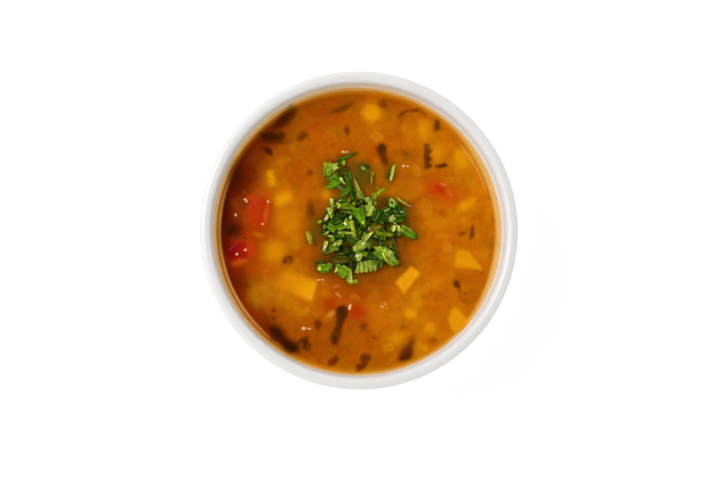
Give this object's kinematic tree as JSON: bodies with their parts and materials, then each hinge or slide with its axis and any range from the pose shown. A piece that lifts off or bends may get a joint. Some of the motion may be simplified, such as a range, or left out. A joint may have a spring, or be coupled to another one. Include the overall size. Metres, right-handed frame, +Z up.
{
  "type": "bowl of tomato dal",
  "caption": "Round white soup bowl filled with tomato dal: potato dice, tomato, celery and dark leaves break its surface, under a heap of chopped coriander.",
  "frame": {"origin": "centre of the foot's underside, on the bowl's axis", "axes": "+Z up along the bowl's axis, +Y towards the top of the picture, +X towards its right"},
  "size_m": [0.14, 0.14, 0.065],
  "materials": {
    "porcelain": "gloss",
    "dal": "gloss",
    "potato": "satin",
    "tomato": "gloss",
    "celery": "satin",
    "wilted_leaf": "satin",
    "coriander": "satin"
  },
  "bodies": {
    "root": {"bowl": "porcelain", "dal": "dal", "potato_dice_1": "potato", "potato_dice_2": "potato", "potato_dice_3": "potato", "potato_dice_4": "potato", "potato_dice_5": "potato", "potato_dice_6": "potato", "potato_dice_7": "potato", "potato_dice_8": "potato", "potato_dice_9": "potato", "potato_dice_10": "potato", "tomato_piece_1": "tomato", "tomato_piece_2": "tomato", "tomato_piece_3": "tomato", "tomato_piece_4": "tomato", "tomato_piece_5": "tomato", "celery_slice": "celery", "dark_leaf_1": "wilted_leaf", "dark_leaf_2": "wilted_leaf", "dark_leaf_3": "wilted_leaf", "dark_leaf_4": "wilted_leaf", "dark_leaf_5": "wilted_leaf", "dark_leaf_6": "wilted_leaf", "dark_leaf_7": "wilted_leaf", "dark_leaf_8": "wilted_leaf", "dark_leaf_9": "wilted_leaf", "herb_heap": "coriander"}
  },
  "joints": []
}
